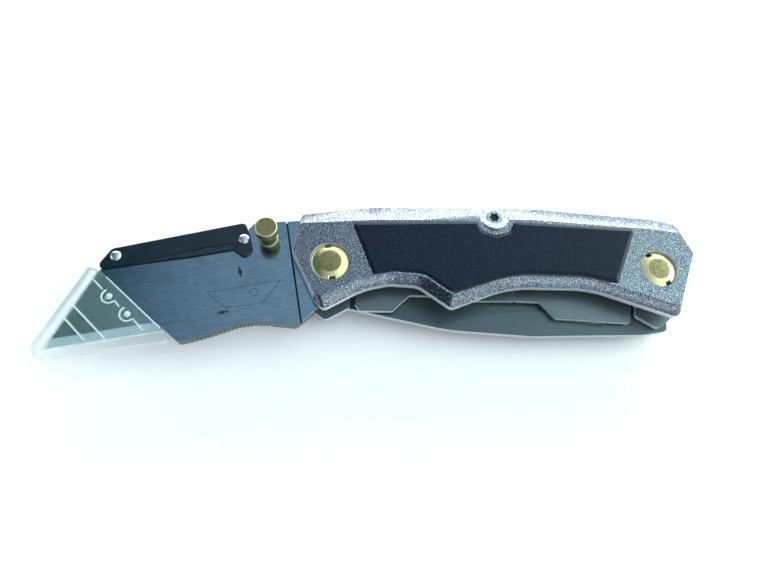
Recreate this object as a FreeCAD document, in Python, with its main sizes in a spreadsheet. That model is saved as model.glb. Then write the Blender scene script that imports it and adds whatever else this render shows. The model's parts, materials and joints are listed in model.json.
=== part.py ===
"""A folding utility knife with a second, plain blade, as a parametric FreeCAD document.

The knife lies on its back.  X runs along the handle from the utility blade's pivot towards
the plain blade's pivot, Y points to the spine and Z points out of the front face.  The origin
is the middle of the rear inlay, the flat face that the knife rests on.  Millimetres.

From the back to the front the handle is a stack: rear inlay, rear scale, slot of the plain
blade, centre liner, slot of the utility holder, front scale, front inlay.
"""
import FreeCAD
import math
import os

import Part

from FreeCAD import Placement, Rotation, Vector

SIZES = {
    # the stack of the handle, each layer's thickness
    "inlay_proud": 0.4,
    "inlay_sunk": 0.8,
    "scale_wall": 1.8,
    "scale_bevel": 2.0,
    "sports_slot": 2.6,
    "liner_thick": 1.4,
    "utility_slot": 3.5,
    # plan of the handle
    "pivot_spacing": 84.4,
    # pivots
    "pivot_head_radius": 4.7,
    "pivot_head_thick": 1.85,
    "pivot_recess_radius": 4.9,
    "pivot_recess_deep": 1.9,
    "barrel_radius": 2.6,
    "barrel_bore": 1.6,
    "bolt_radius": 1.55,
    "pivot_hole_radius": 2.65,
    "notch_wide": 1.6,
    "notch_deep": 0.9,
    "washer_radius": 6.0,
    "spacer_radius": 4.2,
    "screw_clearance": 0.1,
    "screw_head_clearance": 0.15,
    # spine screw
    "screw_y": 13.4,
    "boss_radius": 3.6,
    "boss_proud": 0.15,
    "boss_raise": 0.8,
    "screw_head_radius": 1.95,
    "screw_head_thick": 0.9,
    "screw_head_sunk": 0.3,
    "screw_radius": 1.2,
    "star_radius": 1.05,
    "star_deep": 0.6,
    "star_lobe": 0.3,
    "stop_pin_radius": 1.5,
    # utility blade holder
    "holder_gap": 0.2,
    "back_plate": 1.1,
    "channel_plate": 0.8,
    "front_plate": 1.2,
    "tang_cap": 1.0,
    "tang_radius": 7.8,
    "stud_neck_radius": 2.0,
    "stud_neck_tall": 4.4,
    "stud_head_radius": 2.8,
    "stud_head_tall": 2.5,
    "stud_collar_radius": 2.5,
    "stud_collar_tall": 0.5,
    # standard trapezoid blade
    "blade_long": 61.0,
    "blade_wide": 19.0,
    "blade_thick": 0.6,
    "blade_tip_angle": 54.1,
    "blade_notch_radius": 1.6,
    "blade_notch_apart": 12.0,
    "blade_play": 0.1,
    # lever over the holder's spine
    "lever_gap": 0.1,
    "lever_flange": 0.8,
    "rivet_radius": 0.7,
    "rivet_clearance": 0.05,
    "rivet_head_radius": 1.3,
    "rivet_head_thick": 0.4,
    # guard over the cutting edge
    "guard_thick": 2.5,
    "guard_cavity": 1.0,
    "guard_play": 0.5,
    "guard_over_blade": 3.0,
    # plain blade
    "sports_gap": 0.2,
    "sports_thick": 1.95,
    "sports_grind_deep": 0.55,
    "nail_nick_deep": 0.4,
}

doc = FreeCAD.newDocument("utility_knife")
dims = doc.addObject("Spreadsheet::Sheet", "dims")
for row, (alias, value) in enumerate(SIZES.items(), start=1):
    dims.set(f"A{row}", alias)
    dims.set(f"B{row}", str(value))
    dims.setAlias(f"B{row}", alias)
doc.recompute()


def size(alias):
    """The number that the sheet holds under alias."""
    return float(dims.get(alias))


def expression(*aliases):
    """The sum of the sheet's cells, as an expression; a leading minus subtracts the cell."""
    text = ""
    for alias in aliases:
        minus = alias.startswith("-")
        text += (" - " if minus else " + ") + "dims." + alias.lstrip("-")
    return "0" + text


# heights of the layers above the resting face, each a sum of cells
REAR_FACE = ("inlay_proud",)
REAR_EDGE = REAR_FACE + ("scale_bevel",)
SPORTS_FLOOR = REAR_EDGE + ("scale_wall",)
LINER_FLOOR = SPORTS_FLOOR + ("sports_slot",)
UTILITY_FLOOR = LINER_FLOOR + ("liner_thick",)
FRONT_FLOOR = UTILITY_FLOOR + ("utility_slot",)
FRONT_EDGE = FRONT_FLOOR + ("scale_wall",)
FRONT_FACE = FRONT_EDGE + ("scale_bevel",)

BACK_PLATE_FLOOR = UTILITY_FLOOR + ("holder_gap",)
CHANNEL_FLOOR = BACK_PLATE_FLOOR + ("back_plate",)
FRONT_PLATE_FLOOR = CHANNEL_FLOOR + ("channel_plate",)
HOLDER_TOP = FRONT_PLATE_FLOOR + ("front_plate",)
TANG_TOP = FRONT_PLATE_FLOOR + ("tang_cap",)
SPORTS_BLADE_FLOOR = SPORTS_FLOOR + ("sports_gap",)
SPORTS_BLADE_TOP = SPORTS_BLADE_FLOOR + ("sports_thick",)

LEFT = -size("pivot_spacing") / 2
RIGHT = size("pivot_spacing") / 2
SCREW = (0.0, size("screw_y"))
SPINE_EDGE_Y = 16.8
SPINE_FACE_Y = 12.6
BOSS_LOW_Y = 9.8
SCREW_HOLE = size("screw_radius") + size("screw_clearance")
SCREW_HEAD_HOLE = size("screw_head_radius") + size("screw_head_clearance")

# Outlines.  Each point is x, y and the radius that its corner is rounded with.
SCALE_EDGE = [
    (-49.7, 13.4, 1.2), (-30.0, 16.2, 60.0), (12.0, 17.0, 90.0), (44.0, 15.0, 30.0),
    (50.6, 13.4, 2.2), (53.3, 4.6, 1.5), (46.2, -12.6, 1.8), (24.0, -5.2, 30.0),
    (3.0, -5.2, 30.0), (-12.2, -11.2, 1.8), (-20.3, -5.4, 5.5), (-27.5, -5.0, 12.0),
    (-34.0, -6.5, 20.0), (-43.6, -11.9, 1.4), (-46.0, -9.5, 1.0), (-51.8, 2.8, 1.5),
]
SCALE_FACE = [
    (-49.7, 10.1, 0.8), (-30.0, 11.6, 60.0), (9.0, 12.9, 90.0), (43.0, 11.2, 30.0),
    (49.7, 10.2, 1.2), (52.3, 4.5, 1.2), (45.8, -10.1, 1.2), (23.5, -2.9, 30.0),
    (3.5, -2.7, 30.0), (-12.3, -8.2, 1.4), (-19.3, -3.4, 5.0), (-27.5, -2.9, 10.0),
    (-34.0, -4.0, 20.0), (-44.4, -9.0, 0.5), (-45.9, -8.5, 0.5), (-51.4, 2.8, 1.4),
]
INLAY = [
    (-36.9, 10.7, 1.0), (-4.7, 12.0, 1.0), (-3.5, 9.4, 1.5), (0.0, 8.0, 3.6),
    (3.7, 9.4, 1.5), (5.0, 12.1, 1.0), (37.4, 11.0, 1.2), (30.4, -4.5, 0.9),
    (22.0, -2.4, 30.0), (4.0, -2.2, 30.0), (-12.4, -7.7, 1.4), (-19.0, -2.9, 5.0),
    (-27.0, -2.4, 10.0), (-31.6, -3.5, 0.9),
]
INLAY_EDGE = 0.9
LINER = [
    (-49.0, 12.8, 1.2), (-30.0, 15.6, 60.0), (12.0, 16.4, 90.0), (44.0, 14.4, 30.0),
    (50.0, 12.8, 2.2), (52.6, 4.6, 1.5), (47.0, -11.4, 1.2), (43.4, -14.0, 1.6),
    (37.7, -10.6, 0.8), (38.3, -8.0, 0.6), (34.6, -2.0, 0.6), (5.0, -2.0, 0.3),
    (5.6, -7.1, 0.3), (-8.6, -7.3, 0.3), (-8.0, -2.0, 0.3), (-35.0, -2.0, 0.6),
    (-37.2, -6.8, 0.6), (-37.2, -9.6, 0.8),
    (-43.2, -13.0, 1.4), (-46.2, -10.6, 1.2), (-51.1, 2.8, 1.5),
]
UTILITY_LEAF = [
    (-34.0, -2.6, 0.6), (-8.2, -2.6, 0.2), (-8.7, -6.8, 0.2), (-17.0, -6.1, 6.0),
    (-21.8, -6.1, 1.0), (-26.3, -10.4, 0.8), (-34.6, -10.4, 1.0), (-35.9, -8.7, 0.8),
    (-35.7, -6.9, 0.8),
]
SPORTS_LEAF = [
    (33.4, -2.6, 0.6), (36.9, -7.8, 0.8), (36.0, -12.7, 1.0), (16.2, -11.7, 1.5),
    (12.4, -7.3, 1.0), (5.75, -7.1, 0.2), (5.2, -2.6, 0.2),
]
FRONT_BACKSPACER = [
    (-34.0, 12.6, 0.5), (-34.0, 15.0, 0.8), (-30.0, 15.5, 60.0), (12.0, 16.4, 90.0),
    (34.0, 14.9, 0.8), (34.0, 12.2, 0.5), (4.2, 12.0, 1.0), (2.4, 10.8, 0.8),
    (-2.4, 10.8, 0.8), (-4.2, 12.0, 1.0),
]
REAR_BACKSPACER = [
    (-47.6, 9.0, 0.8), (-47.6, 12.4, 0.8), (-30.0, 15.5, 60.0), (12.0, 16.4, 90.0),
    (34.6, 14.9, 0.8), (34.6, 12.0, 0.5), (4.2, 11.8, 1.0), (2.4, 10.8, 0.8),
    (-2.4, 10.8, 0.8), (-4.2, 11.8, 1.0), (-36.0, 8.4, 6.0),
]
HOLDER = [
    (-97.4, -2.3, 0.8), (-95.3, 2.2, 1.5), (-62.7, 10.2, 0.2), (-61.9, 11.4, 0.3),
    (-46.2, 13.4, 1.5), (-38.0, 7.6, 2.5), (-38.0, -6.0, 2.5), (-45.4, -11.2, 2.0),
    (-50.0, -15.4, 1.4), (-59.0, -14.7, 12.0), (-64.0, -15.5, 12.0), (-72.0, -18.5, 8.0),
    (-77.4, -19.8, 0.9),
]
SEAM_TOP = (-53.9, 13.6)
SEAM_BOTTOM = (-48.6, -16.2)
SEAM_GAP = 0.4
SEAM_CORNER = 0.15
CATCH_SLOT = [
    (-65.9, 4.6, 0.9), (-67.3, 12.5, 0.0), (-63.1, 12.5, 0.0), (-62.9, 4.9, 0.9),
]
LEVER = [
    (-97.5, -1.9, 0.5), (-97.6, -0.6, 0.8), (-95.3, 3.2, 1.6), (-63.9, 11.2, 1.2),
    (-62.5, 8.0, 2.0), (-61.5, 3.6, 1.6), (-63.6, 1.9, 1.4), (-66.4, 4.0, 1.0),
    (-76.0, 1.9, 20.0),
]
LEVER_CAVITY = [
    (-99.0, -4.0, 0.0), (-99.0, 5.0, 0.0), (-93.2, 5.0, 0.0), (-93.2, 2.86, 0.0),
    (-63.7, 10.12, 0.0), (-60.0, 10.12, 0.0), (-60.0, -4.0, 0.0),
]
LEVER_PIVOT = (-94.2, 1.3)
CATCH_PIN = (-63.9, 6.7)
STUD = (-57.9, 7.3)
STOP_PIN = (-40.5, 11.45)
GUARD = [
    (-98.1, -2.0, 0.3), (-100.7, -1.2, 0.5), (-110.1, -20.6, 2.0), (-109.5, -24.0, 1.5),
    (-79.9, -19.4, 0.6), (-80.9, -17.1, 0.3),
]
BLADE_TIP = (-107.4, -21.4)
BLADE_SLOPE = 10.9
SPORTS_BLADE = [
    (-38.9, -8.9, 0.3), (-30.5, 0.6, 26.0), (-12.0, 3.0, 60.0), (30.5, 3.0, 0.8),
    (32.4, 0.6, 1.2), (34.4, 3.6, 1.5), (38.5, 7.2, 2.0), (46.8, 7.2, 2.5),
    (50.2, 0.0, 3.0), (47.6, -7.5, 3.0), (46.7, -14.1, 1.4), (40.0, -15.2, 20.0),
    (10.0, -16.0, 60.0), (-12.0, -14.6, 60.0),
]
SPORTS_GRIND = [
    (-42.0, -8.2, 0.0), (-26.0, -10.9, 20.0), (-13.5, -13.3, 2.5), (-5.0, -10.6, 12.0),
    (8.0, -9.2, 30.0), (24.0, -8.8, 4.0), (29.0, 5.0, 0.0), (-42.0, 5.0, 0.0),
]
NAIL_NICK = [
    (24.6, -13.2, 0.4), (29.4, -13.2, 0.4), (29.0, -12.2, 0.4), (25.0, -12.2, 0.4),
]


def rounded(points):
    """Line segments and tangent arcs through the corners of a closed outline."""
    edges, ends, count = [], [], len(points)
    for i, (x, y, radius) in enumerate(points):
        here = Vector(x, y, 0)
        back = (Vector(*points[i - 1][:2], 0) - here).normalize()
        ahead = (Vector(*points[(i + 1) % count][:2], 0) - here).normalize()
        turn = back.getAngle(ahead)
        reach = radius / math.tan(turn / 2)
        start, end = here + back * reach, here + ahead * reach
        ends.append((start, end))
        if radius > 0:
            middle = (back + ahead).normalize()
            centre = here + middle * (radius / math.sin(turn / 2))
            edges.append(Part.Arc(start, centre - middle * radius, end))
        else:
            edges.append(None)
    outline = []
    for i, arc in enumerate(edges):
        if arc:
            outline.append(arc)
        start, end = ends[i][1], ends[(i + 1) % count][0]
        if start.distanceToPoint(end) > 1e-6:
            outline.append(Part.LineSegment(start, end))
    return outline


def inset(points, distance):
    """The corners of a closed outline drawn clockwise, moved inward by distance."""
    moved = []
    for i, (x, y, radius) in enumerate(points):
        here = Vector(x, y, 0)
        back = (here - Vector(*points[i - 1][:2], 0)).normalize()
        ahead = (Vector(*points[(i + 1) % len(points)][:2], 0) - here).normalize()
        turn = back.x * ahead.y - back.y * ahead.x
        inward = Vector(back.y + ahead.y, -back.x - ahead.x, 0)
        inward *= distance / (1 + back.dot(ahead))
        moved.append((x + inward.x, y + inward.y, max(radius + math.copysign(distance, turn), 0.3)))
    return moved


def circle(x, y, radius):
    """One round outline."""
    return [Part.Circle(Vector(x, y, 0), Vector(0, 0, 1), radius)]


def body(node):
    """An empty body whose label names the sub-part."""
    made = doc.addObject("PartDesign::Body", node)
    made.Label = node
    return made


def sketch(owner, height, *outlines):
    """Closed outlines on a plane parallel to XY, at a height bound to the sheet."""
    made = owner.newObject("Sketcher::SketchObject", owner.Name + "_sketch")
    plane = next(f for f in owner.Origin.OriginFeatures if f.Role == "XY_Plane")
    made.AttachmentSupport = [(plane, "")]
    made.MapMode = "FlatFace"
    made.setExpression("AttachmentOffset.Base.z", expression(*height))
    for outline in outlines:
        made.addGeometry(outline, False)
    return made


def pad(owner, height, thick, *outlines):
    """Material from height upward; thick is a tuple of cells."""
    made = owner.newObject("PartDesign::Pad", owner.Name + "_pad")
    made.Profile = sketch(owner, height, *outlines)
    made.setExpression("Length", expression(*thick))
    doc.recompute()
    return made


def pocket(owner, height, deep, *outlines):
    """A cut from height downward; deep is a tuple of cells."""
    before = owner.Shape.Volume
    made = owner.newObject("PartDesign::Pocket", owner.Name + "_pocket")
    made.Profile = sketch(owner, height, *outlines)
    made.setExpression("Length", expression(*deep))
    doc.recompute()
    if not owner.Shape.Volume < before - 1e-3:
        raise RuntimeError(f"{owner.Label}: a pocket cut nothing")
    return made


def loft(owner, first, last):
    """Ruled material between two sketches of the same number of edges."""
    made = owner.newObject("PartDesign::AdditiveLoft", owner.Name + "_bevel")
    made.Profile = first
    made.Sections = [last]
    made.Ruled = True
    doc.recompute()
    return made


def plate(node, outline, height, thick, *holes):
    """A flat sub-part with holes right through it."""
    made = body(node)
    pad(made, height, thick, rounded(outline), *holes)
    return made


def cylinder(name, x, y, height, radius, tall):
    """An upright cylinder whose sizes and height are bound to the sheet."""
    made = doc.addObject("Part::Cylinder", name)
    made.Placement = Placement(Vector(x, y, 0), Rotation())
    made.setExpression("Placement.Base.z", expression(*height))
    made.setExpression("Radius", expression(radius))
    made.setExpression("Height", expression(*tall))
    return made


def cut(node, base, *tools):
    """Base without the tools."""
    for number, tool in enumerate(tools):
        made = doc.addObject("Part::Cut", f"{node}_cut{number}")
        made.Base, made.Tool = base, tool
        base = made
    base.Label = node
    doc.recompute()
    return base


def fuse(node, *pieces):
    """One solid, or a group of apart solids, of several."""
    made = doc.addObject("Part::MultiFuse", node)
    made.Shapes = list(pieces)
    made.Label = node
    doc.recompute()
    return made


def ring(node, x, y, height, radius, bore, tall):
    """A washer or spacer."""
    outer = cylinder(node + "_outer", x, y, height, radius, tall)
    inner = cylinder(node + "_inner", x, y, height, bore, tall)
    return cut(node, outer, inner)


def boss_trim(name, face, near_y, rise, outward):
    """A tilted block whose near side falls from above the face at near_y to the spine's edge."""
    fall = size("scale_bevel") + sum(size(alias) for alias in rise) - size("boss_proud")
    tilt = math.degrees(math.atan2(fall, SPINE_EDGE_Y - near_y))
    turn = Rotation(Vector(1, 0, 0), -outward * tilt)
    reach = size("boss_radius") + size("boss_proud")
    made = doc.addObject("Part::Box", name)
    made.setExpression("Length", expression("boss_radius", "boss_radius", "boss_proud", "boss_proud"))
    made.setExpression("Width", expression("boss_radius", "boss_radius", "boss_radius"))
    made.setExpression("Height", expression("boss_radius"))
    start = Vector(-reach, near_y, 0)
    if outward < 0:
        start += turn.multVec(Vector(0, 0, -size("boss_radius")))
    made.Placement = Placement(start, turn)
    signed = tuple(alias if outward > 0 else "-" + alias for alias in rise)
    made.setExpression("Placement.Base.z", f"{expression(*face, *signed)} + ({start.z})")
    return made


def front_scale():
    """Cast front scale: flat face, bevels along spine and arches, screw boss, pivot recesses."""
    made = body("front_scale_body")
    pad(made, FRONT_FLOOR, ("scale_wall",), rounded(SCALE_EDGE))
    loft(made, sketch(made, FRONT_EDGE, rounded(SCALE_EDGE)),
         sketch(made, FRONT_FACE, rounded(SCALE_FACE)))
    pad(made, FRONT_EDGE, ("scale_bevel", "boss_raise"), circle(*SCREW, size("boss_radius")))
    pocket(made, FRONT_FACE, ("inlay_sunk",), rounded(INLAY))
    for x in (LEFT, RIGHT):
        pocket(made, FRONT_FACE, ("pivot_recess_deep",), circle(x, 0, size("pivot_recess_radius")))
        pocket(made, FRONT_FACE, ("scale_bevel", "scale_wall"),
               circle(x, 0, size("pivot_hole_radius")))
    pocket(made, FRONT_FACE + ("boss_raise",), ("boss_raise", "screw_head_sunk", "screw_head_thick"),
           circle(*SCREW, SCREW_HEAD_HOLE))
    pocket(made, FRONT_FACE, ("scale_bevel", "scale_wall"), circle(*SCREW, SCREW_HOLE))
    trim = boss_trim("front_boss_trim", FRONT_FACE, BOSS_LOW_Y, ("boss_raise",), 1)
    return cut("front_scale", made, trim)


def rear_scale():
    """Cast rear scale: the front scale's outline, facing the other way."""
    made = body("rear_scale_body")
    pad(made, REAR_EDGE, ("scale_wall",), rounded(SCALE_EDGE))
    loft(made, sketch(made, REAR_EDGE, rounded(SCALE_EDGE)),
         sketch(made, REAR_FACE, rounded(SCALE_FACE)))
    pad(made, REAR_FACE, ("scale_bevel",), circle(*SCREW, size("boss_radius")))
    pocket(made, REAR_FACE + ("inlay_sunk",), ("inlay_sunk",), rounded(INLAY))
    for x in (LEFT, RIGHT):
        pocket(made, REAR_FACE + ("pivot_recess_deep",), ("pivot_recess_deep",),
               circle(x, 0, size("pivot_recess_radius")))
        pocket(made, SPORTS_FLOOR, ("scale_bevel", "scale_wall"),
               circle(x, 0, size("pivot_hole_radius")))
    sunk = ("screw_head_sunk", "screw_head_thick")
    pocket(made, REAR_FACE + sunk, sunk, circle(*SCREW, SCREW_HEAD_HOLE))
    pocket(made, SPORTS_FLOOR, ("scale_bevel", "scale_wall"), circle(*SCREW, SCREW_HOLE))
    trim = boss_trim("rear_boss_trim", REAR_FACE, SPINE_FACE_Y, ("boss_proud",), -1)
    return cut("rear_scale", made, trim)


def inlays():
    """Textured panels set into both scales, with a shallow bevel where they stand proud."""
    top = inset(INLAY, INLAY_EDGE)
    panels = []
    for node, floor, edge, face in (
        ("front_inlay", FRONT_FACE + ("-inlay_sunk",), FRONT_FACE, FRONT_FACE + ("inlay_proud",)),
        ("rear_inlay", REAR_FACE, REAR_FACE, ()),
    ):
        made = plate(node, INLAY, floor, ("inlay_sunk",))
        loft(made, sketch(made, edge, rounded(INLAY)), sketch(made, face, rounded(top)))
        panels.append(made)
    return panels


def pivot(name, x, lean):
    """A pivot in two halves: the front nut with its barrel, and the rear bolt."""
    head_floor = FRONT_FACE + ("-pivot_recess_deep",)
    bolt_floor = REAR_FACE + ("pivot_recess_deep", "-pivot_head_thick")
    barrel_floor = REAR_FACE + ("pivot_recess_deep",)
    barrel_tall = ("scale_bevel", "scale_wall", "sports_slot", "liner_thick", "utility_slot",
                   "scale_bevel", "scale_wall", "-pivot_recess_deep", "-pivot_recess_deep")
    halves = []
    for side, floor in (("nut", head_floor), ("bolt", bolt_floor)):
        head = cylinder(f"{name}_{side}_head", x, 0, floor, "pivot_head_radius", ("pivot_head_thick",))
        notches = []
        for number, angle in enumerate((lean, lean + 180)):
            away = Rotation(Vector(0, 0, 1), angle)
            notch = doc.addObject("Part::Box", f"{name}_{side}_notch{number}")
            corner = Vector(size("pivot_head_radius") - size("notch_deep"), -size("notch_wide") / 2, 0)
            notch.Placement = Placement(Vector(x, 0, 0) + away.multVec(corner), away)
            notch.setExpression("Placement.Base.z", expression(*floor))
            notch.setExpression("Length", expression("notch_deep", "notch_deep"))
            notch.setExpression("Width", expression("notch_wide"))
            notch.setExpression("Height", expression("pivot_head_thick"))
            notches.append(notch)
        if side == "nut":
            shaft = cylinder(f"{name}_barrel", x, 0, barrel_floor, "barrel_radius", barrel_tall)
            bore = cylinder(f"{name}_bore", x, 0, barrel_floor, "barrel_bore", barrel_tall)
            notches.append(bore)
        else:
            shaft = cylinder(f"{name}_shaft", x, 0, barrel_floor, "bolt_radius",
                             barrel_tall + ("-inlay_sunk",))
        whole = fuse(f"{name}_{side}_whole", head, shaft)
        halves.append(cut(f"{name}_{side}", whole, *notches))
    return halves


def pivot_rings():
    """Washers either side of each tang, and the rings that hold the other slot open."""
    washers = []
    stacks = (
        ("utility", LEFT, UTILITY_FLOOR, ("holder_gap",), TANG_TOP,
         ("utility_slot", "-holder_gap", "-back_plate", "-channel_plate", "-tang_cap")),
        ("sports", RIGHT, SPORTS_FLOOR, ("sports_gap",), SPORTS_BLADE_TOP,
         ("sports_slot", "-sports_gap", "-sports_thick")),
    )
    for name, x, low, low_tall, high, high_tall in stacks:
        for side, floor, tall in (("rear", low, low_tall), ("front", high, high_tall)):
            washers.append(ring(f"{name}_washer_{side}", x, 0, floor, "washer_radius",
                                "pivot_hole_radius", tall))
    spacers = [
        ring("utility_pivot_spacer", LEFT, 0, SPORTS_FLOOR, "spacer_radius",
             "pivot_hole_radius", ("sports_slot",)),
        ring("sports_pivot_spacer", RIGHT, 0, UTILITY_FLOOR, "spacer_radius",
             "pivot_hole_radius", ("utility_slot",)),
    ]
    return washers + spacers


def star_socket(name, floor):
    """A six-lobed driver socket as a cutting tool."""
    core = cylinder(f"{name}_core", *SCREW, floor, "star_radius", ("star_deep",))
    lobes = [core]
    for number in range(6):
        angle = math.radians(60 * number)
        x = SCREW[0] + size("star_radius") * math.cos(angle)
        y = SCREW[1] + size("star_radius") * math.sin(angle)
        lobe = cylinder(f"{name}_lobe{number}", x, y, floor, "star_lobe", ("star_deep",))
        lobes.append(lobe)
    return fuse(f"{name}_star", *lobes)


def spine_screw():
    """The screw that clamps the spine, and the nut at the back."""
    head_floor = FRONT_FACE + ("-screw_head_sunk", "-screw_head_thick")
    nut_floor = REAR_FACE + ("screw_head_sunk",)
    shaft_floor = nut_floor + ("screw_head_thick",)
    shaft_tall = ("scale_bevel", "scale_wall", "sports_slot", "liner_thick", "utility_slot",
                  "scale_wall", "scale_bevel", "-screw_head_sunk", "-screw_head_sunk",
                  "-screw_head_thick", "-screw_head_thick")
    head = cylinder("spine_screw_head", *SCREW, head_floor, "screw_head_radius", ("screw_head_thick",))
    shaft = cylinder("spine_screw_shaft", *SCREW, shaft_floor, "screw_radius", shaft_tall)
    socket = star_socket("spine_screw", FRONT_FACE + ("-screw_head_sunk", "-star_deep"))
    screw = cut("spine_screw", fuse("spine_screw_whole", head, shaft), socket)
    blank = cylinder("spine_nut_blank", *SCREW, nut_floor, "screw_head_radius", ("screw_head_thick",))
    nut = cut("spine_nut", blank, star_socket("spine_nut", nut_floor))
    return [screw, nut]


def inner_frame():
    """Centre liner with its two lock leaves, the backspacers and the holder's stop pin."""
    pivots = [circle(x, 0, size("pivot_hole_radius")) for x in (LEFT, RIGHT)]
    screw = circle(*SCREW, SCREW_HOLE)
    liner = plate("centre_liner", LINER, LINER_FLOOR, ("liner_thick",), *pivots, screw)
    utility_leaf = plate("utility_lock_leaf", UTILITY_LEAF, LINER_FLOOR, ("liner_thick",))
    sports_leaf = plate("sports_lock_leaf", SPORTS_LEAF, LINER_FLOOR, ("liner_thick",))
    front = plate("front_backspacer", FRONT_BACKSPACER, UTILITY_FLOOR, ("utility_slot",), screw)
    rear = plate("rear_backspacer", REAR_BACKSPACER, SPORTS_FLOOR, ("sports_slot",), screw)
    pin = cylinder("utility_stop_pin", *STOP_PIN, UTILITY_FLOOR, "stop_pin_radius", ("utility_slot",))
    return [liner, utility_leaf, sports_leaf, front, rear, pin]


def on_blade(u, v):
    """A point u along the trapezoid blade's edge and v up from it, in the knife's frame."""
    slope = math.radians(BLADE_SLOPE)
    return (BLADE_TIP[0] + u * math.cos(slope) - v * math.sin(slope),
            BLADE_TIP[1] + u * math.sin(slope) + v * math.cos(slope))


def blade_corners(left=0.0, right=0.0, below=0.0, above=0.0):
    """Corners of the trapezoid blade, let out by the given amounts, in the knife's frame."""
    lean = 1 / math.tan(math.radians(size("blade_tip_angle")))
    long, wide = size("blade_long"), size("blade_wide")
    start = -left - below * lean
    end = long + right + below * lean
    run = (below + wide + above) * lean
    corners = ((start, -below), (start + run, wide + above), (end - run, wide + above), (end, -below))
    return [(*on_blade(u, v), 0.0) for u, v in corners]


def clipped(outline, shift, keep_left):
    """The corners of an outline on one side of the holder's slanting seam, moved by shift in X."""
    start = Vector(SEAM_TOP[0] + shift, SEAM_TOP[1], 0)
    along = Vector(SEAM_BOTTOM[0] + shift, SEAM_BOTTOM[1], 0) - start

    def side(point):
        away = Vector(point[0], point[1], 0) - start
        return (along.x * away.y - along.y * away.x) * (-1 if keep_left else 1)

    kept = []
    for here, following in zip(outline, outline[1:] + outline[:1]):
        near, far = side(here), side(following)
        if near > 0:
            kept.append(here)
        if near * far < 0:
            part = near / (near - far)
            kept.append((here[0] + part * (following[0] - here[0]),
                         here[1] + part * (following[1] - here[1]), SEAM_CORNER))
    return kept


def holder():
    """Utility blade holder: back plate with tang, channel plate, front plate and tang cap."""
    bore = circle(LEFT, 0, size("pivot_hole_radius"))
    disc = circle(LEFT, 0, size("tang_radius"))
    rivet = circle(*LEVER_PIVOT, size("rivet_radius"))
    slot = rounded(CATCH_SLOT)
    through = ("back_plate", "channel_plate", "front_plate")
    front_outline = clipped(HOLDER, -SEAM_GAP / 2, True)
    cap_outline = clipped(HOLDER, SEAM_GAP / 2, False)
    play = size("blade_play")
    plates = []
    for node, outline, floor, thick, tang in (
        ("holder_back_plate", HOLDER, BACK_PLATE_FLOOR, ("back_plate",), True),
        ("holder_channel_plate", HOLDER, CHANNEL_FLOOR, ("channel_plate",), True),
        ("holder_front_plate", front_outline, FRONT_PLATE_FLOOR, ("front_plate",), False),
        ("holder_tang_cap", cap_outline, FRONT_PLATE_FLOOR, ("tang_cap",), True),
    ):
        made = body(node)
        pad(made, floor, thick, rounded(outline))
        top = floor + thick
        if tang:
            pad(made, floor, thick, disc)
            pocket(made, top, through, bore)
        if node != "holder_tang_cap":
            pocket(made, top, through, rivet)
            pocket(made, top, through, slot)
        if node == "holder_channel_plate":
            pocket(made, top, through, rounded(blade_corners(size("blade_wide"), play, play, play)))
        plates.append(made)
    return plates


def amid_channel(feature, *offset):
    """Moves a pad or pocket's sketch to the middle of the blade channel, plus half the offset."""
    half = expression("channel_plate", *offset)
    feature.Profile[0].setExpression("AttachmentOffset.Base.z",
                                     f"{expression(*CHANNEL_FLOOR)} + ({half}) / 2")
    doc.recompute()


def utility_blade():
    """Standard trapezoid blade with two notches in its back."""
    made = body("utility_blade")
    amid_channel(pad(made, CHANNEL_FLOOR, ("blade_thick",), rounded(blade_corners())),
                 "-blade_thick")
    for side in (-1, 1):
        along = size("blade_long") / 2 + side * size("blade_notch_apart") / 2
        pocket(made, CHANNEL_FLOOR + ("channel_plate",), ("channel_plate",),
               circle(*on_blade(along, size("blade_wide")), size("blade_notch_radius")))
    return made


def thumb_stud():
    """Turned stud on the holder's front plate: collar, neck and head."""
    collar = cylinder("stud_collar", *STUD, HOLDER_TOP, "stud_collar_radius", ("stud_collar_tall",))
    neck = cylinder("stud_neck", *STUD, HOLDER_TOP, "stud_neck_radius", ("stud_neck_tall",))
    head = cylinder("stud_head", *STUD, HOLDER_TOP + ("stud_neck_tall",), "stud_head_radius",
                    ("stud_head_tall",))
    return fuse("thumb_stud", collar, neck, head)


def release_lever():
    """Blade release lever, a channel astride the holder's spine, with its rivet and catch pin."""
    low = BACK_PLATE_FLOOR + ("-lever_gap", "-lever_flange")
    whole = ("back_plate", "channel_plate", "front_plate", "lever_gap", "lever_gap",
             "lever_flange", "lever_flange")
    inside = ("back_plate", "channel_plate", "front_plate", "lever_gap", "lever_gap")
    lever = body("release_lever")
    pad(lever, low, whole, rounded(LEVER))
    pocket(lever, HOLDER_TOP + ("lever_gap",), inside, rounded(LEVER_CAVITY))
    hole = size("rivet_radius") + size("rivet_clearance")
    pocket(lever, low + whole, whole, circle(*LEVER_PIVOT, hole))
    pocket(lever, low + whole, whole, circle(*CATCH_PIN, size("rivet_radius")))
    pins = []
    for node, place in (("lever_rivet", LEVER_PIVOT), ("lever_catch_pin", CATCH_PIN)):
        shank = cylinder(f"{node}_shank", *place, low, "rivet_radius", whole)
        rear = cylinder(f"{node}_rear", *place, low + ("-rivet_head_thick",), "rivet_head_radius",
                        ("rivet_head_thick",))
        front = cylinder(f"{node}_front", *place, low + whole, "rivet_head_radius",
                         ("rivet_head_thick",))
        pins.append(fuse(node, shank, rear, front))
    return [lever] + pins


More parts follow.
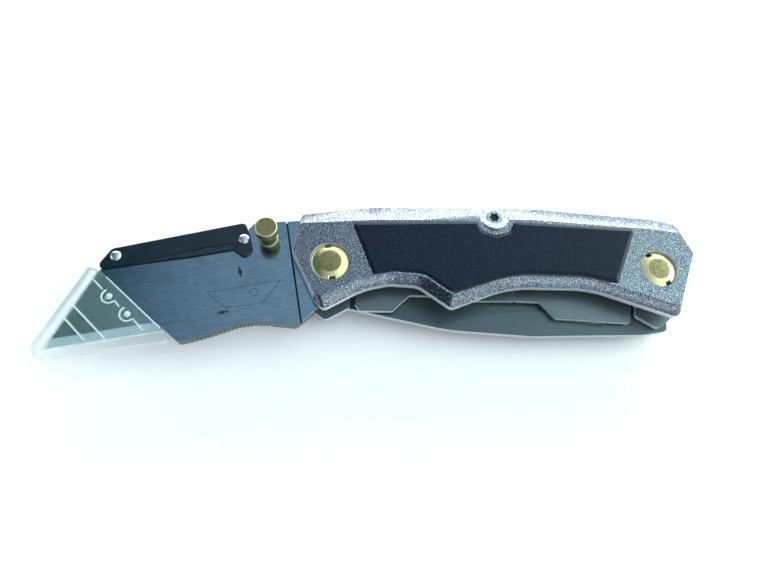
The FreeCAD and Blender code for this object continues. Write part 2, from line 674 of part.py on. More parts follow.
def blade_guard():
    """Clear cap over the cutting edge, open towards the holder."""
    made = body("blade_guard")
    play, above = size("guard_play"), size("guard_over_blade")
    amid_channel(pad(made, CHANNEL_FLOOR, ("guard_thick",), rounded(GUARD)), "-guard_thick")
    room = rounded(blade_corners(play, size("blade_wide"), play, above))
    amid_channel(pocket(made, CHANNEL_FLOOR + ("channel_plate",), ("guard_cavity",), room),
                 "guard_cavity")
    return made


def sports_blade():
    """Plain blade, folded: spine outside the handle, hollow grinds on both sides."""
    made = body("sports_blade")
    pad(made, SPORTS_BLADE_FLOOR, ("sports_thick",), rounded(SPORTS_BLADE))
    pocket(made, SPORTS_BLADE_TOP, ("sports_thick",), circle(RIGHT, 0, size("pivot_hole_radius")))
    pocket(made, SPORTS_BLADE_TOP, ("sports_grind_deep",), rounded(SPORTS_GRIND))
    pocket(made, SPORTS_BLADE_FLOOR + ("sports_grind_deep",), ("sports_grind_deep",),
           rounded(SPORTS_GRIND))
    pocket(made, SPORTS_BLADE_TOP, ("nail_nick_deep",), rounded(NAIL_NICK))
    return made


nodes = [front_scale(), rear_scale(), *inlays()]
nodes += pivot("utility_pivot", LEFT, 98)
nodes += pivot("sports_pivot", RIGHT, 118)
nodes += [*pivot_rings(), *spine_screw(), *inner_frame()]
nodes += [*holder(), utility_blade(), thumb_stud(), *release_lever(), blade_guard(), sports_blade()]
doc.recompute()

for item in doc.Objects:
    if "Invalid" in item.State or "Error" in item.State:
        raise RuntimeError(f"{item.Name} failed: {item.State}")
for node in nodes:
    if node.Shape.isNull() or not node.Shape.isValid():
        raise RuntimeError(f"{node.Label} has no valid shape")

os.makedirs("parts", exist_ok=True)
for node in nodes:
    node.Shape.exportStep(f"parts/{node.Label}.step")
    print(node.Label, len(node.Shape.Solids), round(node.Shape.Volume, 1))
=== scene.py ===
"""The look of the folding utility knife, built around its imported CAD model.  Metres."""
import bmesh
import bpy
import json
import math
from mathutils import Matrix, Vector


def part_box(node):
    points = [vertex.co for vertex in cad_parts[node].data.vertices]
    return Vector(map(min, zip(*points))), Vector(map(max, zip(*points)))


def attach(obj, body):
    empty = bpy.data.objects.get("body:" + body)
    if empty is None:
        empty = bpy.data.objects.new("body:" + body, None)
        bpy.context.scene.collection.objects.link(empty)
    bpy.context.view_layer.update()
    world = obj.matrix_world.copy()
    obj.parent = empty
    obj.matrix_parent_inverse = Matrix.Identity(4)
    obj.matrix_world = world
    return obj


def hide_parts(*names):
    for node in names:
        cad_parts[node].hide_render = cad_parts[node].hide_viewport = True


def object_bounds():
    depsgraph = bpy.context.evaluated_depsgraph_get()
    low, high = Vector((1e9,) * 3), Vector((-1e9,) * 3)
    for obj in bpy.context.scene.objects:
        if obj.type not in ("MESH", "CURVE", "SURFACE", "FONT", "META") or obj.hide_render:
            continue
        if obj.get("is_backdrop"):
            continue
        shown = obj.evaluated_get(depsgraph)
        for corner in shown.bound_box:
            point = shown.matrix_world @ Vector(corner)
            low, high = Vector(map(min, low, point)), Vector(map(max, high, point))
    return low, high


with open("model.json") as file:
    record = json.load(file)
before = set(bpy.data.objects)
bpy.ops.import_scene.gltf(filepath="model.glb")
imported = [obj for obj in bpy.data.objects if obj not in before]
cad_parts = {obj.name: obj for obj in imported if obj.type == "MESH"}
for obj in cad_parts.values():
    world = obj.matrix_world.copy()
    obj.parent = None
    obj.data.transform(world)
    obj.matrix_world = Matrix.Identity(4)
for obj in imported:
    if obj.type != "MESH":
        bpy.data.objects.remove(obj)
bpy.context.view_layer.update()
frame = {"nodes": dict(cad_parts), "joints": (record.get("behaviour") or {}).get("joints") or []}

MM = 0.001
NODES = frame["nodes"]
JOINTS = {joint["name"]: joint for joint in frame["joints"]}

# ---------------------------------------------------------------- places read from the frame
LEFT_PIVOT = Vector(JOINTS["holder_fold"]["pos_m"])
RIGHT_PIVOT = Vector(JOINTS["plain_blade_fold"]["pos_m"])
LEVER_PIVOT = Vector(JOINTS["release_lever_lift"]["pos_m"])
BLADE_ALONG = Vector(JOINTS["guard_slide"]["axis"])
BLADE_SLOPE = math.atan2(BLADE_ALONG.y, BLADE_ALONG.x)
INLAY_PROUD = 0.4 * MM
HANDLE_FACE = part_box("front_inlay")[1].z - INLAY_PROUD
HOLDER_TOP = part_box("holder_front_plate")[1].z
HOLDER_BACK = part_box("holder_back_plate")[0].z


def on_blade(u, v):
    """A point u mm along the utility blade's edge from its tip and v mm up from the edge."""
    tip = Vector((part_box("utility_blade")[0].x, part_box("utility_blade")[0].y, 0))
    across = Vector((-BLADE_ALONG.y, BLADE_ALONG.x, 0))
    return tip + BLADE_ALONG * u * MM + across * v * MM


# ---------------------------------------------------------------- materials
class Shader:
    """A node material with a Principled surface and a few helpers for procedural detail."""

    def __init__(self, name, color, roughness, metallic=0.0, **sockets):
        self.material = bpy.data.materials.new(name)
        self.material.use_nodes = True
        self.tree = self.material.node_tree
        self.surface = self.tree.nodes["Principled BSDF"]
        self.surface.inputs["Base Color"].default_value = (*color, 1)
        self.surface.inputs["Roughness"].default_value = roughness
        self.surface.inputs["Metallic"].default_value = metallic
        for socket, value in sockets.items():
            self.surface.inputs[socket.replace("_", " ")].default_value = value
        self.place = self.add("ShaderNodeTexCoord").outputs["Object"]
        self.height = None

    def add(self, kind, **settings):
        node = self.tree.nodes.new(kind)
        for setting, value in settings.items():
            if setting in node.inputs:
                node.inputs[setting].default_value = value
            else:
                setattr(node, setting, value)
        return node

    def link(self, source, target):
        self.tree.links.new(source, target)

    def mapped(self, scale, turn=0.0):
        """Object coordinates turned about Z, then stretched."""
        turned = self.add("ShaderNodeVectorRotate", rotation_type="Z_AXIS", Angle=-turn)
        self.link(self.place, turned.inputs["Vector"])
        stretched = self.add("ShaderNodeMapping")
        stretched.inputs["Scale"].default_value = scale
        self.link(turned.outputs[0], stretched.inputs["Vector"])
        return stretched.outputs[0]

    def noise(self, scale, detail=3.0, where=None, rough=0.6):
        node = self.add("ShaderNodeTexNoise", Scale=scale, Detail=detail, Roughness=rough)
        self.link(where or self.place, node.inputs["Vector"])
        return node.outputs["Fac"]

    def cells(self, scale, where=None):
        """A random number for each small cell."""
        node = self.add("ShaderNodeTexVoronoi", Scale=scale)
        self.link(where or self.place, node.inputs["Vector"])
        split = self.add("ShaderNodeSeparateColor")
        self.link(node.outputs["Color"], split.inputs[0])
        return split.outputs[0]

    def between(self, value, low, high, out_low, out_high):
        """A number stretched from one range to another."""
        node = self.add("ShaderNodeMapRange")
        self.link(value, node.inputs["Value"])
        for socket, number in zip(("From Min", "From Max", "To Min", "To Max"),
                                  (low, high, out_low, out_high)):
            node.inputs[socket].default_value = number
        return node.outputs[0]

    def math(self, operation, one, other):
        node = self.add("ShaderNodeMath", operation=operation)
        for socket, value in zip(node.inputs, (one, other)):
            if isinstance(value, (int, float)):
                socket.default_value = value
            else:
                self.link(value, socket)
        return node.outputs[0]

    def colors(self, value, stops):
        """Colour along a ramp, from (position, colour) pairs."""
        node = self.add("ShaderNodeValToRGB")
        ramp = node.color_ramp.elements
        while len(ramp) < len(stops):
            ramp.new(0.5)
        for element, (position, color) in zip(ramp, stops):
            element.position = position
            element.color = (*color, 1)
        self.link(value, node.inputs[0])
        self.link(node.outputs[0], self.surface.inputs["Base Color"])
        return node.outputs[0]

    def tint(self, color, value, shade):
        """Colour mixed towards a shade where value is high."""
        node = self.add("ShaderNodeMix", data_type="RGBA")
        self.link(value, node.inputs["Factor"])
        self.link(color, node.inputs[6])
        node.inputs[7].default_value = (*shade, 1)
        self.link(node.outputs[2], self.surface.inputs["Base Color"])
        return node.outputs[2]

    def roughness(self, value, low, high):
        self.link(self.between(value, 0.3, 0.7, low, high), self.surface.inputs["Roughness"])

    def bump(self, value, distance, strength=1.0):
        node = self.add("ShaderNodeBump", Distance=distance, Strength=strength)
        self.link(value, node.inputs["Height"])
        if self.height:
            self.link(self.height, node.inputs["Normal"])
        self.height = node.outputs[0]
        self.link(self.height, self.surface.inputs["Normal"])


def cast_metal():
    """Grainy cast metal: sparkling flakes under a thin satin coat."""
    made = Shader("cast_metal", (0.3, 0.33, 0.36), 0.32, 0.95)
    flake = made.cells(8500)
    coarse = made.noise(3100, 4, rough=0.75)
    mixed = made.math("ADD", made.math("MULTIPLY", flake, 0.45), made.math("MULTIPLY", coarse, 0.6))
    color = made.colors(mixed, [(0.28, (0.034, 0.042, 0.062)), (0.5, (0.105, 0.125, 0.155)),
                                (0.68, (0.26, 0.30, 0.34)), (0.80, (0.90, 0.97, 1.0))])
    made.tint(color, made.between(made.noise(55, 2), 0.45, 0.75, 0.0, 0.25), (0.18, 0.17, 0.18))
    made.roughness(coarse, 0.18, 0.3)
    made.bump(coarse, 0.00005, 0.35)
    made.bump(flake, 0.00002, 0.25)
    return made.material


def inlay_plastic():
    """Near-black textured panel with a fine sparkle."""
    made = Shader("inlay_plastic", (0.02, 0.025, 0.05), 0.4, 0.0, Specular_IOR_Level=0.15)
    flake = made.cells(6500)
    grain = made.noise(3600, 3, rough=0.7)
    made.colors(flake, [(0.0, (0.002, 0.005, 0.014)), (0.88, (0.004, 0.010, 0.024)),
                        (0.98, (0.025, 0.036, 0.06))])
    made.roughness(grain, 0.28, 0.4)
    made.bump(grain, 0.00002, 0.35)
    made.bump(made.noise(140, 2), 0.0001, 0.2)
    return made.material


def brushed(name, color, roughness, turn, streak=0.5, stain=(0.16, 0.2, 0.26), metallic=1.0):
    """Steel brushed along one direction, with faint stains and scratches."""
    made = Shader(name, color, roughness, metallic)
    fine = made.noise(1, 3, made.mapped((420, 8600, 8600), turn))
    broad = made.noise(1, 3, made.mapped((130, 1900, 1900), turn))
    lines = made.math("ADD", made.math("MULTIPLY", fine, 0.72), made.math("MULTIPLY", broad, 0.28))
    dark = tuple(c * (1 - 0.42 * streak) for c in color)
    light = tuple(min(1, c * (1 + 0.38 * streak)) for c in color)
    ramp = made.colors(lines, [(0.34, dark), (0.5, color), (0.66, light)])
    made.tint(ramp, made.between(made.noise(170, 5, rough=0.7), 0.5, 0.72, 0.0, 0.5), stain)
    made.roughness(lines, roughness * 0.75, roughness * 1.3)
    made.bump(lines, 0.00002, 0.5 * streak)
    return made.material


def edge_highlight_metal(name, color):
    """Pale satin metal on sheared and cast edges, paler than the faces beside them: a painted highlight
    along the edges.
    """
    made = Shader(name, color, 0.5, 0.4)
    grain = made.noise(2400, 4, rough=0.7)
    low, high = (tuple(c * k for c in color) for k in (0.7, 1.15))
    made.colors(grain, [(0.3, low), (0.7, high)])
    made.roughness(grain, 0.4, 0.6)
    made.bump(grain, 0.00003, 0.4)
    return made.material


def brass(name, roughness, grain):
    """Yellow brass with fine turning marks or a sparkling grain."""
    made = Shader(name, (0.74, 0.68, 0.40), roughness, 1.0)
    spots = made.noise(3600, 4, rough=0.7)
    flake = made.cells(8500)
    mixed = made.math("ADD", made.math("MULTIPLY", flake, grain), made.math("MULTIPLY", spots, 1 - grain))
    dark, light = 0.6 - 0.62 * grain, 0.82 - 0.74 * grain
    made.colors(mixed, [(0.2, (dark, dark * 0.93, dark * 0.45)), (0.5, (light, light * 0.89, light * 0.45)),
                        (0.9, (light + 0.14, light + 0.10, light * 0.45 + 0.05))])
    made.roughness(spots, roughness * 0.8, roughness * 1.35)
    made.bump(mixed, 0.00003, 0.2 + 0.3 * grain)
    return made.material


def gloss_black():
    """Glossy black enamel with a little orange peel and rubbed spots."""
    made = Shader("gloss_black", (0.001, 0.009, 0.016), 0.2, 0.0, Coat_Weight=0.2, Coat_Roughness=0.08,
                  Specular_IOR_Level=0.4)
    peel = made.noise(420, 3)
    rubbed = made.noise(260, 5, rough=0.75)
    made.colors(rubbed, [(0.4, (0.001, 0.008, 0.014)), (0.66, (0.002, 0.013, 0.022)),
                         (0.78, (0.014, 0.033, 0.045))])
    made.roughness(peel, 0.16, 0.3)
    made.bump(peel, 0.00003, 0.35)
    return made.material


def clear_plastic():
    """Clear moulded plastic, slightly cool, with fine handling marks."""
    made = Shader("clear_plastic", (0.93, 1.0, 1.0), 0.06, 0.0, IOR=1.49, Transmission_Weight=1.0,
                  Alpha=0.6)
    scuff = made.noise(600, 5, rough=0.75)
    made.roughness(scuff, 0.03, 0.14)
    made.bump(made.noise(120, 2), 0.00005, 0.1)
    return made.material


def highlight_plastic():
    """The same plastic, whitish and half diffuse on the guard's ribs and walls: painted highlight for the
    bright lines along them.
    """
    made = Shader("highlight_plastic", (0.88, 1.0, 1.0), 0.3, 0.0, IOR=1.49, Transmission_Weight=0.5)
    scuff = made.noise(900, 3)
    made.roughness(scuff, 0.26, 0.36)
    made.bump(scuff, 0.00001, 0.1)
    return made.material


def moulded_black():
    """Satin black spacer plastic."""
    made = Shader("moulded_black", (0.03, 0.032, 0.036), 0.5)
    grain = made.noise(2600, 3)
    made.colors(grain, [(0.35, (0.02, 0.021, 0.024)), (0.65, (0.045, 0.047, 0.052))])
    made.roughness(grain, 0.42, 0.6)
    made.bump(grain, 0.00003, 0.6)
    return made.material


def floor_paper():
    """Pale paper with faint fibres."""
    made = Shader("floor_paper", (0.95, 0.93, 0.925), 0.7)
    fibre = made.noise(300, 4)
    made.colors(fibre, [(0.3, (0.93, 0.91, 0.91)), (0.7, (0.97, 0.945, 0.94))])
    made.roughness(fibre, 0.6, 0.8)
    made.bump(fibre, 0.00004, 0.2)
    return made.material


def etch_and_painted_shade():
    """Dark grainy metal: etched lines in their own colour, painted shade in driver sockets and inlay
    pockets.
    """
    made = Shader("etch_and_painted_shade", (0.03, 0.04, 0.05), 0.6, 0.6)
    grain = made.noise(2200, 4, rough=0.7)
    made.colors(grain, [(0.3, (0.018, 0.026, 0.034)), (0.7, (0.04, 0.05, 0.062))])
    made.roughness(grain, 0.5, 0.7)
    made.bump(grain, 0.00002, 0.3)
    return made.material


METAL = cast_metal()
INLAY = inlay_plastic()
HOLDER_STEEL = brushed("holder_steel", (0.20, 0.33, 0.39), 0.15, BLADE_SLOPE, 0.8, (0.13, 0.18, 0.22))
# Nearly black steel: painted shade for the seam between the holder's plates, on the channel plate and on
# the blade's steep walls and butt.
SEAM_SHADE_STEEL = brushed("seam_shade_steel", (0.04, 0.05, 0.06), 0.5, BLADE_SLOPE, 0.3, (0.03, 0.04, 0.05))
CUT_STEEL = brushed("cut_steel", (0.14, 0.155, 0.14), 0.42, 0.0, 0.3, (0.14, 0.16, 0.15))
LINER_STEEL = brushed("liner_steel", (0.115, 0.150, 0.165), 0.34, 0.0, 0.35, (0.10, 0.13, 0.145), 0.55)
PLAIN_STEEL = brushed("plain_blade_steel", (0.072, 0.100, 0.112), 0.36, math.radians(-3), 0.35,
                      (0.065, 0.09, 0.105), 0.6)
EDGE_STEEL = brushed("utility_blade_steel", (0.44, 0.55, 0.50), 0.22, BLADE_SLOPE, 0.12,
                     (0.30, 0.34, 0.22))
GROUND_STEEL = brushed("ground_steel", (0.78, 0.93, 0.95), 0.42, BLADE_SLOPE + math.pi / 2, 0.2,
                       (0.6, 0.75, 0.8))
BRIGHT_STEEL = brushed("bright_steel", (0.60, 0.65, 0.69), 0.28, 0.4, 0.25, (0.45, 0.48, 0.51))
SCREW_STEEL = brushed("screw_steel", (0.36, 0.41, 0.45), 0.3, 0.4, 0.25, (0.3, 0.34, 0.37))
# Paler copies of the metals for the edge walls of the scales, liners, leaves and plain blade: painted
# highlight.
SCALE_WALL_HIGHLIGHT = edge_highlight_metal("scale_wall", (0.66, 0.72, 0.74))
SHEET_WALL_HIGHLIGHT = edge_highlight_metal("sheet_wall_highlight", (0.58, 0.66, 0.68))
BRASS_POLISHED = brass("brass_polished", 0.24, 0.08)
BRASS_GRAIN = brass("brass_grain", 0.36, 0.8)
BRASS_DULL = brass("brass_dull", 0.34, 0.45)
BLACK = gloss_black()
CLEAR = clear_plastic()
PLASTIC_HIGHLIGHT = highlight_plastic()
SPACER = moulded_black()
PAPER = floor_paper()
# Etched lines in their own dark colour; the same dark is painted shade in driver sockets and inlay pockets.
ETCH_AND_PAINTED_SHADE = etch_and_painted_shade()

FINISHES = {
    "front_scale": METAL, "rear_scale": METAL, "front_inlay": INLAY, "rear_inlay": INLAY,
    "utility_washer_rear": BRASS_GRAIN, "utility_washer_front": BRASS_GRAIN,
    "sports_washer_rear": BRASS_GRAIN, "sports_washer_front": BRASS_GRAIN,
    "utility_pivot_spacer": LINER_STEEL, "sports_pivot_spacer": LINER_STEEL,
    "centre_liner": LINER_STEEL, "utility_lock_leaf": LINER_STEEL,
    "sports_lock_leaf": LINER_STEEL, "front_backspacer": SPACER, "rear_backspacer": SPACER,
    "utility_stop_pin": BRIGHT_STEEL, "holder_tang_cap": HOLDER_STEEL,
    "sports_blade": PLAIN_STEEL,
}


# ---------------------------------------------------------------- building in mesh code
SAME_POINT = 0.002 * MM
FLAT_ENOUGH = math.radians(1.5)
SHARP_ENOUGH = math.radians(22)


def placed(name, mesh):
    """A new object in the scene."""
    made = bpy.data.objects.new(name, mesh)
    bpy.context.scene.collection.objects.link(made)
    return made


def from_bmesh(name, shape, smooth=28):
    """An object from a bmesh, smooth except at edges sharper than the given degrees."""
    bmesh.ops.recalc_face_normals(shape, faces=shape.faces)
    for edge in shape.edges:
        edge.smooth = len(edge.link_faces) == 2 and edge.calc_face_angle() < math.radians(smooth)
    for face in shape.faces:
        face.smooth = True
    mesh = bpy.data.meshes.new(name)
    shape.to_mesh(mesh)
    shape.free()
    return placed(name, mesh)


def prism(name, outline, low, high, at=Vector((0, 0, 0))):
    """A solid between two heights from a closed outline of (x, y) points in millimetres."""
    shape = bmesh.new()
    rings = [[shape.verts.new((at.x + x * MM, at.y + y * MM, z)) for x, y in outline]
             for z in (low, high)]
    count = len(outline)
    for i in range(count):
        j = (i + 1) % count
        shape.faces.new((rings[0][i], rings[0][j], rings[1][j], rings[1][i]))
    shape.faces.new(rings[0][::-1])
    shape.faces.new(rings[1])
    return from_bmesh(name, shape)


def turned(name, profile, centre, steps=112, inner=None, smooth=28):
    """A solid turned about an upright axis, from (radius mm, height m) points; faces whose
    corners all lie within the inner radius get the second material."""
    shape = bmesh.new()
    rings = []
    for radius, height in profile:
        if radius == 0:
            rings.append([shape.verts.new((centre.x, centre.y, height))])
            continue
        rings.append([
            shape.verts.new((centre.x + radius * MM * math.cos(2 * math.pi * i / steps),
                             centre.y + radius * MM * math.sin(2 * math.pi * i / steps), height))
            for i in range(steps)
        ])
    for one, other in zip(rings, rings[1:]):
        for i in range(steps):
            j = (i + 1) % steps
            corners = [one[i % len(one)], one[j % len(one)], other[j % len(other)],
                       other[i % len(other)]]
            face = shape.faces.new(list(dict.fromkeys(corners)))
            reach = max((Vector((v.co.x, v.co.y)) - Vector((centre.x, centre.y))).length
                        for v in corners)
            face.material_index = int(inner is not None and reach < inner * MM)
    return from_bmesh(name, shape, smooth)


def bar(start, end, wide):
    """The outline, in millimetres, of a straight bar between two points."""
    start, end = Vector(start), Vector(end)
    side = (end - start).normalized().orthogonal() * wide / 2
    return [tuple(start + side), tuple(end + side), tuple(end - side), tuple(start - side)]


def crescent(centre, radius, wide, first, last, steps=28):
    """The outline of part of a ring, in millimetres and degrees."""
    angles = [math.radians(first + (last - first) * i / steps) for i in range(steps + 1)]
    outer = [(centre[0] + (radius + wide / 2) * math.cos(a),
              centre[1] + (radius + wide / 2) * math.sin(a)) for a in angles]
    inner = [(centre[0] + (radius - wide / 2) * math.cos(a),
              centre[1] + (radius - wide / 2) * math.sin(a)) for a in reversed(angles)]
    return outer + inner


def welded(piece):
    """Joins a piece's points where its faces meet."""
    merge = piece.modifiers.new("merge", "WELD")
    merge.merge_threshold = SAME_POINT


def shaped(name, base, cuts=()):
    """A new object from the base's mesh, less the cutting solids."""
    made = placed(name, base.data.copy())
    made.matrix_world = base.matrix_world
    welded(made)
    for tool in cuts:
        step = made.modifiers.new("step", "BOOLEAN")
        step.operation = "DIFFERENCE"
        step.solver = "EXACT"
        step.object = tool
    graph = bpy.context.evaluated_depsgraph_get()
    mesh = bpy.data.meshes.new_from_object(made.evaluated_get(graph))
    made.modifiers.clear()
    made.data = mesh
    for tool in cuts:
        bpy.data.objects.remove(tool)
    return made


def crisp(piece, edge):
    """Small round edges that catch the light."""
    welded(piece)
    flat = piece.modifiers.new("flat", "DECIMATE")
    flat.decimate_type = "DISSOLVE"
    flat.angle_limit = FLAT_ENOUGH
    bevel = piece.modifiers.new("bevel", "BEVEL")
    bevel.width = edge
    bevel.segments = 2
    bevel.limit_method = "ANGLE"
    bevel.angle_limit = SHARP_ENOUGH
    bevel.harden_normals = True


# Faces this close to an inlay line its pocket; they get painted shade.
POCKET_GAP = 0.6 * MM


def walls(piece, second=0.5, third=0.0, inlay=None):
    """Gives a piece's faces its second or third material where they are steeper than given,
    and the third, as painted shade, where they line the pocket of an inlay."""
    for polygon in piece.data.polygons:
        level = abs(polygon.normal.z)
        painted_shade_lining = False
        # Faces lining an inlay's pocket get the third material as painted shade.
        if inlay:
            found, nearest, _, _ = inlay.closest_point_on_mesh(polygon.center)
            painted_shade_lining = found and (nearest - polygon.center).length < POCKET_GAP
        polygon.material_index = 2 if level < third or painted_shade_lining else int(level < second)


def stand_in(piece, node, body, *materials, edge=0.0):
    """Shows a piece in place of a CAD node, moving with the node's body."""
    indexes = [polygon.material_index for polygon in piece.data.polygons]
    piece.data.materials.clear()
    for material in materials:
        piece.data.materials.append(material)
    for polygon, index in zip(piece.data.polygons, indexes):
        polygon.material_index = min(index, len(materials) - 1)
    if edge:
        crisp(piece, edge)
    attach(piece, body)
    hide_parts(node)
    return piece


WALL_STEEP = 0.3


def dress(node, material, edge=0.0, wall=None, inlay=None):
    """Gives a CAD node its material, the paler painted highlight of its walls where given, painted shade in
    its inlay's pocket, and its small round edges.
    """
    piece = NODES[node]
    piece.data.materials.clear()
    for finish in (material, wall or material, ETCH_AND_PAINTED_SHADE):
        piece.data.materials.append(finish)
    walls(piece, WALL_STEEP, inlay=inlay)
    if edge:
        crisp(piece, edge)


# ---------------------------------------------------------------- pieces with finer detail
SOCKET_DEEP = 0.3
SOCKET_REACH = 1.5


def spine_fastener(node):
    """Screw or nut with its driver socket painted dark, as shade in the recess."""
    made = shaped(node + "_piece", NODES[node])
    low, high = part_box(node)
    for polygon in made.data.polygons:
        away = min(abs(polygon.center.z - low.z), abs(polygon.center.z - high.z)) / MM
        reach = (polygon.center - (low + high) / 2).xy.length / MM
        # Faces down inside the driver socket: painted shade.
        polygon.material_index = int(reach < SOCKET_REACH and away > SOCKET_DEEP)
    stand_in(made, node, "handle", SCREW_STEEL, ETCH_AND_PAINTED_SHADE, edge=0.12 * MM)


PIVOT_HEAD = 1.85
HEAD_DISC = 2.8


def pivot_half(node, centre, lean):
    """A pivot half: grained disc inside a polished, sloping rim with two spanner notches."""
    low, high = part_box(node)
    rim = (high.x - low.x) / 2 / MM
    front = node.endswith("nut")
    face, inward = (high.z, -MM) if front else (low.z, MM)
    floor = face + PIVOT_HEAD * inward
    tail = low.z if front else high.z
    shaft, bore = (2.6, 1.6) if front else (1.55, 0.0)
    profile = [(0, face), (HEAD_DISC - 0.1, face), (HEAD_DISC, face + 0.02 * inward),
               (3.4, face + 0.2 * inward), (4.0, face + 0.39 * inward),
               (rim - 0.2, face + 0.56 * inward), (rim - 0.05, face + 0.64 * inward),
               (rim, face + 0.78 * inward), (rim, floor), (shaft, floor), (shaft, tail)]
    profile += [(bore, tail), (bore, floor), (0, floor)] if front else [(0, tail)]
    head = turned(node + "_turned", profile, centre, inner=HEAD_DISC + 0.02, smooth=12)
    notches = []
    for angle in (lean, lean + 180):
        a = math.radians(angle)
        reach = Vector((math.cos(a), math.sin(a)))
        outline = bar(reach * (rim - 0.9), reach * (rim + 1), 1.6)
        notches.append(prism("notch", outline, min(face, floor) - MM, max(face, floor) + MM, centre))
    made = shaped(node + "_piece", head, notches)
    bpy.data.objects.remove(head)
    stand_in(made, node, "handle", BRASS_POLISHED, BRASS_GRAIN)


def stud():
    """Thumb stud with a waist, a polished drum and a grained top."""
    low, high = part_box("thumb_stud")
    centre = (low + high) / 2
    z, top = low.z, high.z
    profile = [(0, z), (2.5, z), (2.5, z + 0.35 * MM), (2.4, z + 0.5 * MM), (2.1, z + 0.6 * MM),
               (2.0, z + 0.9 * MM), (2.0, top - 2.7 * MM), (2.15, top - 2.5 * MM),
               (2.6, top - 2.4 * MM), (2.8, top - 2.15 * MM), (2.8, top - 0.4 * MM),
               (2.74, top - 0.16 * MM), (2.6, top - 0.03 * MM), (2.5, top),
               (2.38, top - 0.03 * MM), (2.34, top - 0.1 * MM), (0, top - 0.06 * MM)]
    stand_in(turned("thumb_stud_piece", profile, centre, inner=2.36), "thumb_stud", "holder",
             BRASS_DULL, BRASS_GRAIN)


def rivet(node, body, centre):
    """Rivet with low domed heads front and back."""
    low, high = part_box(node)
    rim, shank = (high.x - low.x) / 2 / MM, 0.7
    ends = []
    for face, inward in ((low.z, MM), (high.z, -MM)):
        ends.append([(0, face - 0.04 * inward), (0.35, face - 0.02 * inward),
                     (0.7, face + 0.03 * inward), (1.0, face + 0.11 * inward),
                     (rim - 0.1, face + 0.22 * inward), (rim, face + 0.34 * inward),
                     (rim, face + 0.4 * inward), (shank, face + 0.4 * inward)])
    profile = ends[0] + ends[1][::-1]
    stand_in(turned(node + "_piece", profile, centre, 48), node, body, BRIGHT_STEEL)


GRIP_PATH = [(-74.0, -18.9), (-72.0, -18.35), (-68.0, -16.9), (-64.0, -15.4), (-60.0, -14.75),
             (-56.6, -14.8)]
GRIP_STEP = 0.95
GRIP_ROUND = 0.36


def grip_grooves():
    """Upright grooves along the finger side of the holder's lower edge."""
    grooves = []
    along = 0.0
    for start, end in zip(GRIP_PATH, GRIP_PATH[1:]):
        start, end = Vector(start), Vector(end)
        run = (end - start).length
        while along < run:
            point = start + (end - start) * along / run
            out = Vector((end.y - start.y, start.x - end.x)).normalized()
            at = point + out * 0.2
            ring = [(at.x + GRIP_ROUND * math.cos(a), at.y + GRIP_ROUND * math.sin(a))
                    for a in (math.radians(30 * i) for i in range(12))]
            grooves.append(prism("groove", ring, HOLDER_BACK - MM, HOLDER_TOP + MM))
            along += GRIP_STEP
        along -= run
    return grooves


def holder_plates():
    """The holder's plates with their grip grooves."""
    for node in ("holder_front_plate", "holder_back_plate", "holder_channel_plate"):
        made = shaped(node + "_piece", NODES[node], grip_grooves())
        # The channel plate shows only at the floor of the seam; it is painted nearly black as the seam's
        # shade.
        face = SEAM_SHADE_STEEL if node == "holder_channel_plate" else HOLDER_STEEL
        walls(made)
        stand_in(made, node, "holder", face, CUT_STEEL, edge=0.07 * MM)


ARROW_WIDE = 0.55
LINE_WIDE = 0.12
ETCHED_BLADE = [(-72.0, -7.3), (-54.4, -3.9), (-58.3, -9.7), (-67.0, -11.4)]


def etched_marks():
    """Plain etched guide: two arrows and the outline of a blade with a hole."""
    low, high = HOLDER_TOP - 0.05 * MM, HOLDER_TOP + 0.008 * MM
    outlines = [
        bar((-64.7, -0.5), (-64.3, -2.0), ARROW_WIDE),
        [(-64.9, -1.8), (-63.75, -1.5), (-63.95, -3.5)],
        bar((-66.3, -12.0), (-67.8, -12.4), ARROW_WIDE),
        [(-67.5, -12.9), (-67.7, -11.8), (-69.2, -12.75)],
        *(bar(start, end, LINE_WIDE)
          for start, end in zip(ETCHED_BLADE, ETCHED_BLADE[1:] + ETCHED_BLADE[:1])),
        crescent((-60.6, -7.1), 1.0, LINE_WIDE, 0, 359),
    ]
    for number, outline in enumerate(outlines):
        made = prism(f"etched_mark_{number}", outline, low, high)
        made.data.materials.append(ETCH_AND_PAINTED_SHADE)
        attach(made, "holder")


LEVER_STEP = [(-66.3, 5.7), (-73.2, 4.2), (-83.9, 1.3), (-91.5, -0.9), (-91.5, -4.0),
              (-70.0, -2.0), (-66.3, 3.0)]
LEVER_DIMPLE = Vector((-79.9, 4.0, 0)) * MM


def lever():
    """Release lever: stepped lower flange, a coined notch by the catch pin and a dimple."""
    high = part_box("release_lever")[1]
    cuts = [prism("step", LEVER_STEP, high.z - 0.22 * MM, high.z + MM),
            prism("notch", bar((-66.8, 5.35), (-65.1, 4.05), 0.32), high.z - 0.35 * MM, high.z + MM)]
    cuts.append(turned("dimple", [(0, high.z - 0.25 * MM), (0.25, high.z - 0.15 * MM),
                                  (0.4, high.z + 0.1 * MM), (0, high.z + 0.1 * MM)],
                       LEVER_DIMPLE, 24))
    made = shaped("release_lever_piece", NODES["release_lever"], cuts)
    stand_in(made, "release_lever", "lever", BLACK, edge=0.14 * MM)


EDGE_GRIND = 2.0
SHADED_BUTT_INSET = 5 * MM


